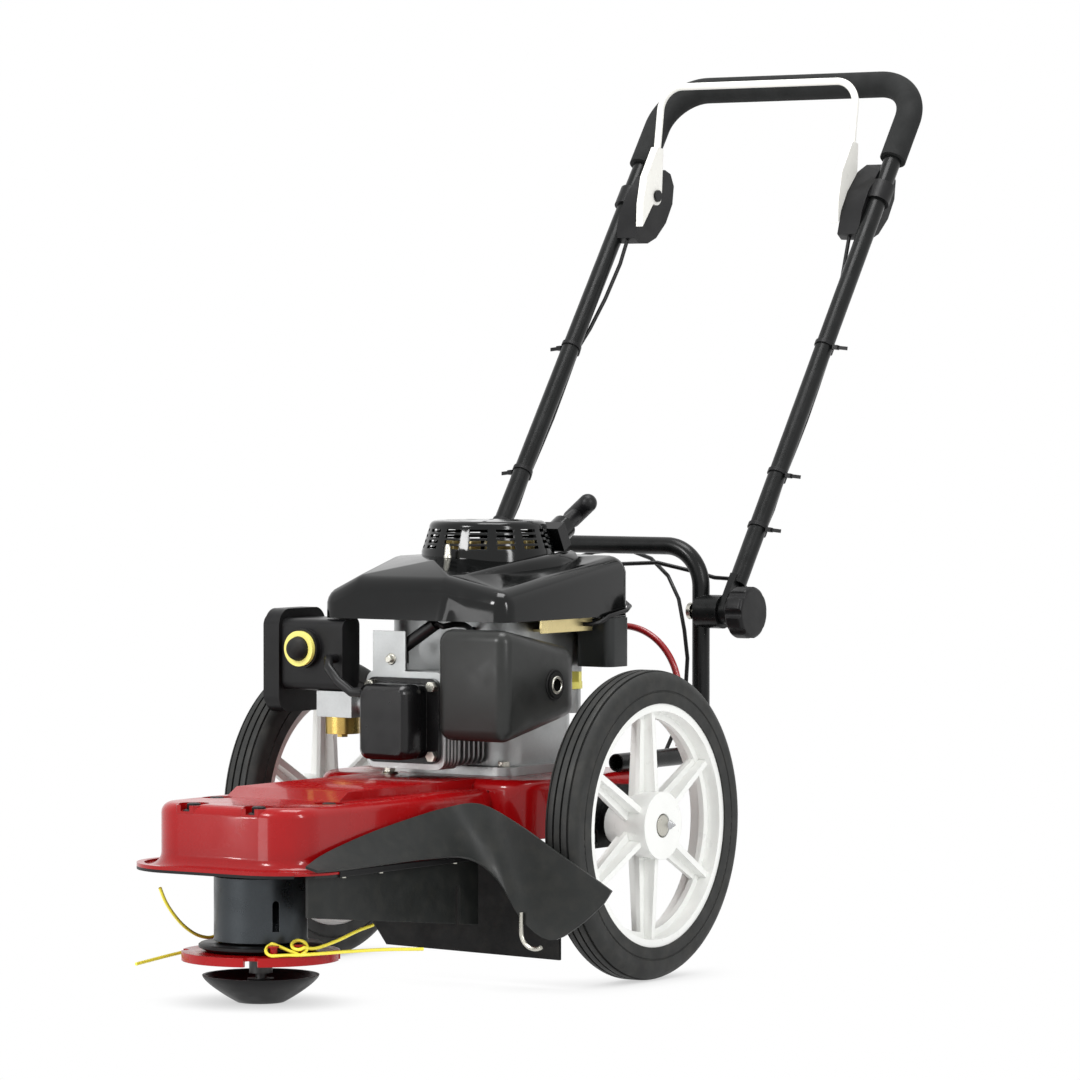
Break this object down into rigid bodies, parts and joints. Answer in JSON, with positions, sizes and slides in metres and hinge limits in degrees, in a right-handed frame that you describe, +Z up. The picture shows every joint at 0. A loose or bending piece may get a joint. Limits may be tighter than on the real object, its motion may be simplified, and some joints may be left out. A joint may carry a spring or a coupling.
{
  "type": "wheeled string trimmer",
  "caption": "Walk-behind string trimmer: stamped deck over a spinning line head with glide foot, vertical-shaft engine over large spoked wheels, folding tube handle.",
  "frame": {"origin": "centre of the glide foot's flat underside, on the ground under the cutting spindle", "axes": "+Z up, -Y the way the cutting head points, +Y back to the handle, +X the operator's left"},
  "size_m": [0.5679, 1.2427, 1.077],
  "materials": {
    "red_paint": "gloss powder coat",
    "black_paint": "satin powder coat",
    "black_plastic": "moulded, slightly grained",
    "gloss_black": "moulded, glossy",
    "rubber": "matte",
    "tyre": "matte",
    "white_plastic": "moulded",
    "aluminium": "cast",
    "dark_paint": "heat-proof matte paint",
    "steel": "zinc plated",
    "brass": "yellow zinc plated",
    "yellow_plastic": "moulded",
    "foam": "closed-cell foam",
    "white_paint": "gloss powder coat"
  },
  "bodies": {
    "chassis": {"deck_pan": "red_paint", "lip_edging": "rubber", "axle_brackets": "steel", "lower_frame": "black_paint", "guard_hoop": "red_paint", "shield_wing": "black_plastic", "shield_skirt": "black_plastic", "shield_hook": "steel", "rear_apron": "rubber", "wrap_guard": "dark_paint", "spindle_housing": "steel", "drive_belt": "rubber", "chassis_bolts": "steel", "engine_block": "aluminium", "cylinder_head": "aluminium", "rocker_cover": "dark_paint", "muffler": "dark_paint", "muffler_outlet": "steel", "air_base": "black_plastic", "air_cover": "black_plastic", "primer_ring": "yellow_plastic", "carburettor": "aluminium", "float_bowl": "brass", "spark_plug": "white_plastic", "plug_lead": "rubber", "breather_hose": "rubber", "blower_shroud": "gloss_black", "starter_cover": "gloss_black", "fuel_tank": "black_plastic", "control_plate": "brass", "cable_lower": "rubber"},
    "left_wheel": {"left_tyre": "tyre", "left_rim": "white_plastic"},
    "right_wheel": {"right_tyre": "tyre", "right_rim": "white_plastic"},
    "crank": {"crankshaft": "steel", "flywheel": "aluminium", "drive_pulley": "steel"},
    "trimmer_head": {"spindle_shaft": "steel", "head_pulley": "steel", "head_flange": "black_plastic", "trimmer_disc": "red_paint", "line_one": "yellow_plastic", "line_two": "yellow_plastic"},
    "glide_foot": {"glide_foot": "black_plastic"},
    "idler_arm": {"idler_arm": "steel"},
    "idler_pulley": {"idler_pulley": "black_plastic"},
    "handle": {"upper_handle": "black_paint", "foam_grip": "foam", "lever_housings": "black_plastic", "cable_upper": "rubber", "cable_ties": "black_plastic"},
    "bail": {"bail": "white_paint"},
    "left_knob": {"left_knob": "black_plastic"},
    "right_knob": {"right_knob": "black_plastic"},
    "starter_grip": {"starter_grip": "black_plastic"},
    "primer_bulb": {"primer_bulb": "rubber"},
    "fuel_cap": {"fuel_cap": "black_plastic"},
    "dipstick": {"dipstick": "yellow_plastic"}
  },
  "joints": [
    {"name": "left_wheel_spin", "type": "hinge", "parent": "chassis", "child": "left_wheel", "pos_m": [0.228, 0.425, 0.178], "axis": [1, 0, 0], "continuous": true},
    {"name": "right_wheel_spin", "type": "hinge", "parent": "chassis", "child": "right_wheel", "pos_m": [-0.228, 0.425, 0.178], "axis": [1, 0, 0], "continuous": true},
    {"name": "crank_spin", "type": "hinge", "parent": "chassis", "child": "crank", "pos_m": [0, 0.44, 0.3], "axis": [0, 0, 1], "continuous": true},
    {"name": "head_spin", "type": "hinge", "parent": "chassis", "child": "trimmer_head", "pos_m": [0, 0, 0.12], "axis": [0, 0, 1], "continuous": true},
    {"name": "foot_spin", "type": "hinge", "parent": "trimmer_head", "child": "glide_foot", "pos_m": [0, 0, 0.015], "axis": [0, 0, 1], "continuous": true},
    {"name": "bail_squeeze", "type": "hinge", "parent": "handle", "child": "bail", "pos_m": [0, 1.01465, 0.92241], "axis": [-1, 0, 0], "range_deg": [0, 27], "stiffness_Nm_per_rad": 2, "springref_deg": -22.92},
    {"name": "idler_swing", "type": "hinge", "parent": "chassis", "child": "idler_arm", "pos_m": [-0.06442, 0.31, 0.1815], "axis": [0, 0, 1], "range_deg": [0, 8]},
    {"name": "idler_spin", "type": "hinge", "parent": "idler_arm", "child": "idler_pulley", "pos_m": [-0.07555, 0.23078, 0.1675], "axis": [0, 0, 1], "continuous": true},
    {"name": "handle_fold", "type": "hinge", "parent": "chassis", "child": "handle", "pos_m": [0, 0.6685, 0.4128], "axis": [1, 0, 0], "range_deg": [0, 115]},
    {"name": "left_knob_turn", "type": "hinge", "parent": "chassis", "child": "left_knob", "pos_m": [0.2, 0.6685, 0.4128], "axis": [1, 0, 0], "range_deg": [0, 720]},
    {"name": "right_knob_turn", "type": "hinge", "parent": "chassis", "child": "right_knob", "pos_m": [-0.2, 0.6685, 0.4128], "axis": [-1, 0, 0], "range_deg": [0, 720]},
    {"name": "starter_pull", "type": "slide", "parent": "chassis", "child": "starter_grip", "axis": [0, 0.8829, 0.4695], "range_m": [0, 0.6], "stiffness_N_per_m": 15, "springref_m": -0.3},
    {"name": "primer_push", "type": "slide", "parent": "chassis", "child": "primer_bulb", "axis": [0, 1, 0], "range_m": [0, 0.006], "stiffness_N_per_m": 800, "springref_m": -0.002},
    {"name": "fuel_cap_turn", "type": "hinge", "parent": "chassis", "child": "fuel_cap", "pos_m": [0.02, 0.562, 0.42], "axis": [0, 0, 1], "range_deg": [0, 360]},
    {"name": "dipstick_turn", "type": "hinge", "parent": "chassis", "child": "dipstick", "pos_m": [0.112, 0.445, 0.334], "axis": [0, 0, 1], "range_deg": [0, 90]}
  ],
  "couplings": [
    {"joint": "head_spin", "follows": "crank_spin", "ratio": 0.80488},
    {"joint": "idler_swing", "follows": "bail_squeeze", "ratio": 0.2963}
  ]
}
